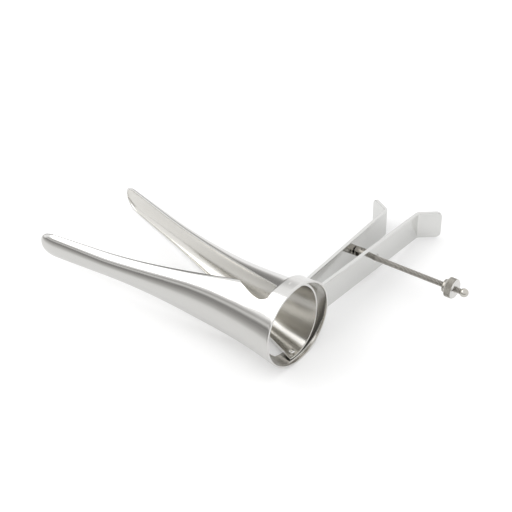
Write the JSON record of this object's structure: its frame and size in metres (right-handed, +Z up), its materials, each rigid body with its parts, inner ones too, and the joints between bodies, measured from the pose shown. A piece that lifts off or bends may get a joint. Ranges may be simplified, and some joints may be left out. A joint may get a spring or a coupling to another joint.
{
  "type": "vaginal speculum",
  "caption": "Vaginal speculum: trough-shaped bills hinged in a mouth ring, flat strip handles with bent tabs, and a hinged threaded rod with a knurled nut and a ball end.",
  "frame": {"origin": "centre of the bounding box on the plane the instrument lies on", "axes": "+Z up from the table; -X along the bills toward their tips, with the ring's axis about 4 degrees off level; +Y along the handles toward their tabs"},
  "size_m": [0.2072, 0.1548, 0.0454],
  "materials": {
    "polished_steel": "mirror-polished stainless steel",
    "satin_steel": "satin stainless steel"
  },
  "bodies": {
    "outer_half": {"outer_valve": "polished_steel", "outer_handle": "satin_steel", "upper_rivet": "polished_steel", "lower_rivet": "polished_steel"},
    "inner_half": {"inner_valve": "polished_steel", "inner_handle": "satin_steel", "rod_lug": "satin_steel", "lug_pin": "polished_steel"},
    "rod": {"threaded_rod": "satin_steel", "end_ball": "polished_steel"},
    "nut": {"knurled_nut": "satin_steel"}
  },
  "joints": [
    {"name": "valve_pivot", "type": "hinge", "parent": "outer_half", "child": "inner_half", "pos_m": [0.04921, -0.041, 0.02235], "axis": [-0.0787, 0.117, 0.99], "range_deg": [-2.5, 23]},
    {"name": "rod_swing", "type": "hinge", "parent": "inner_half", "child": "rod", "pos_m": [0.04232, 0.02652, 0.01382], "axis": [-0.0787, 0.117, 0.99], "range_deg": [-11.6, 1.3]},
    {"name": "nut_travel", "type": "slide", "parent": "rod", "child": "nut", "axis": [0.9956, 0.0596, 0.0721], "range_m": [-0.012, 0.0012]}
  ],
  "couplings": [
    {"joint": "rod_swing", "follows": "valve_pivot", "ratio": -0.5}
  ]
}
